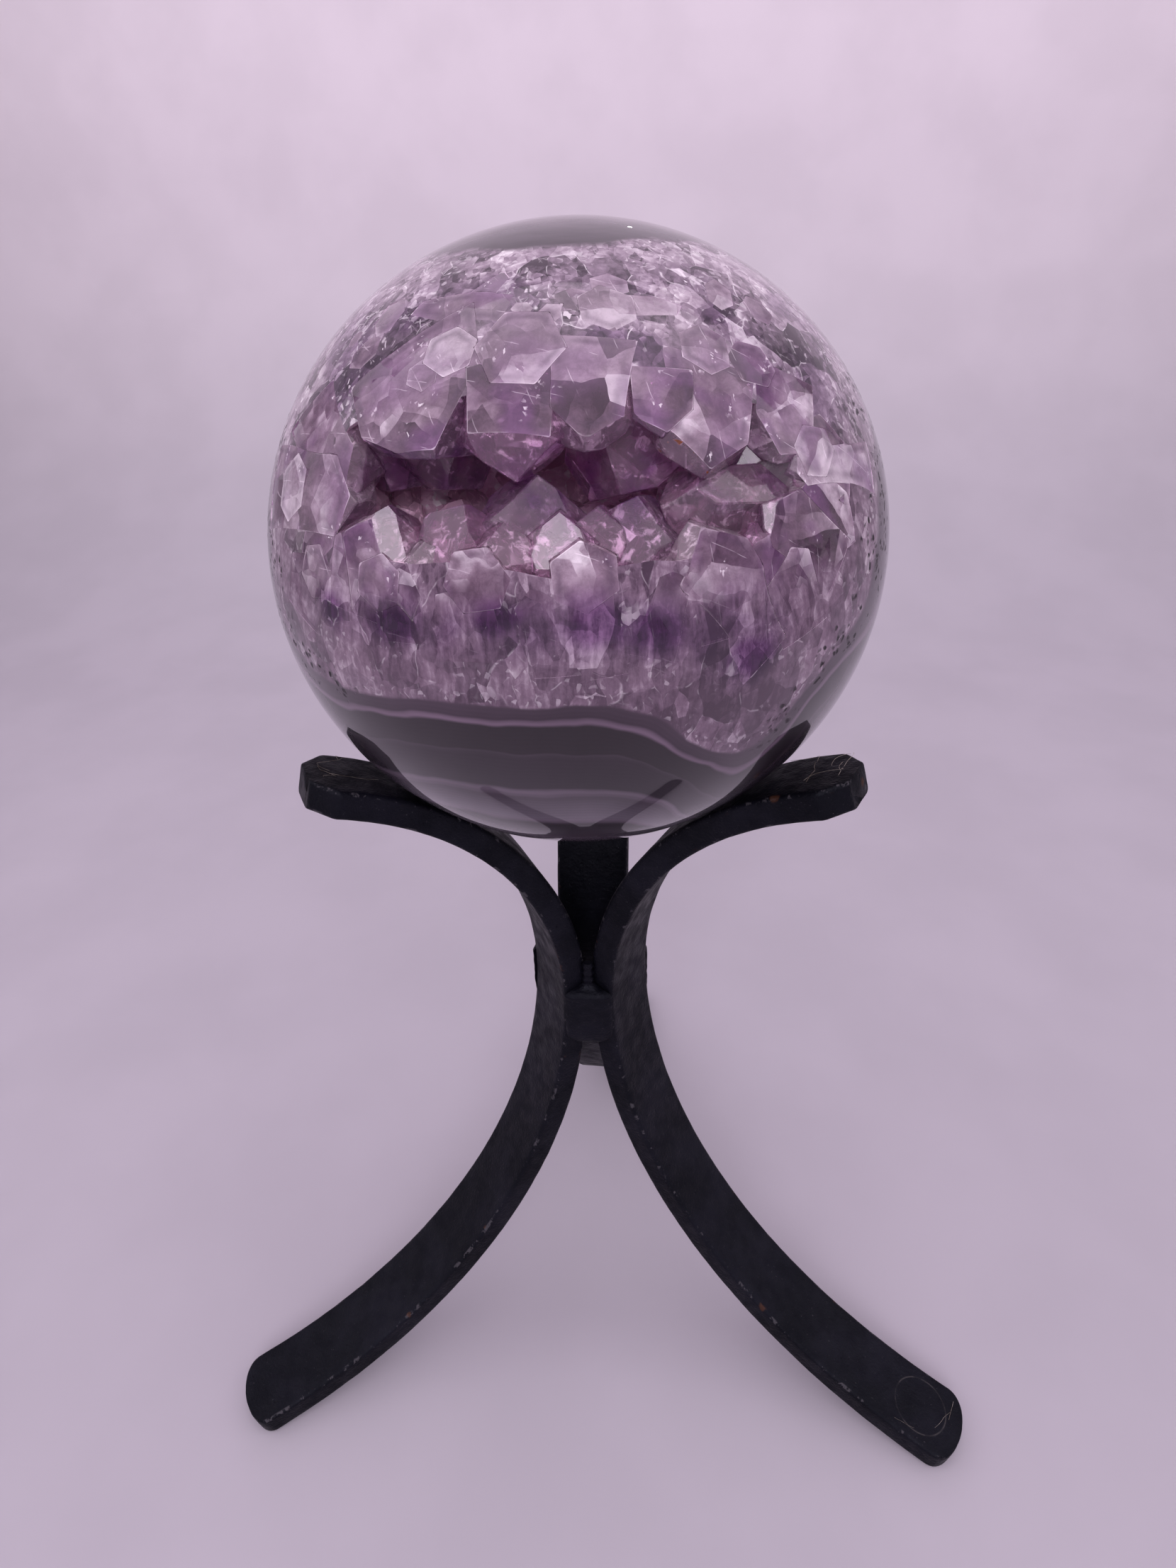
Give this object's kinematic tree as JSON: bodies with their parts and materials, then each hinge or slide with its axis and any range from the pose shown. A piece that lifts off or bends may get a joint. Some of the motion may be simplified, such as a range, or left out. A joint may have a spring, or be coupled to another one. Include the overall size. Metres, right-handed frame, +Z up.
{
  "type": "amethyst sphere",
  "caption": "Polished amethyst geode sphere with an open crystal-lined hollow, resting in a stand of bent, black-painted flat iron bars.",
  "frame": {"origin": "on the surface it stands on, under the middle of the outline of the whole object", "axes": "+Z up; -Y towards the viewer, the side on which the hollow opens; +X to the viewer's right"},
  "size_m": [0.1592, 0.1394, 0.2345],
  "materials": {
    "amethyst": "polished, glossy, banded grey agate skin over violet and clear quartz",
    "crystal": "clear to violet quartz with natural flat faces",
    "painted_iron": "black paint, semi-matt, hammered texture",
    "painted_weld": "black paint over a rough ground weld"
  },
  "bodies": {
    "root": {"amethyst_sphere": "amethyst", "crystal_crust": "crystal", "leg_back": "painted_iron", "leg_front_left": "painted_iron", "leg_front_right": "painted_iron", "weld_front": "painted_weld", "weld_left": "painted_weld", "weld_right": "painted_weld"}
  },
  "joints": []
}
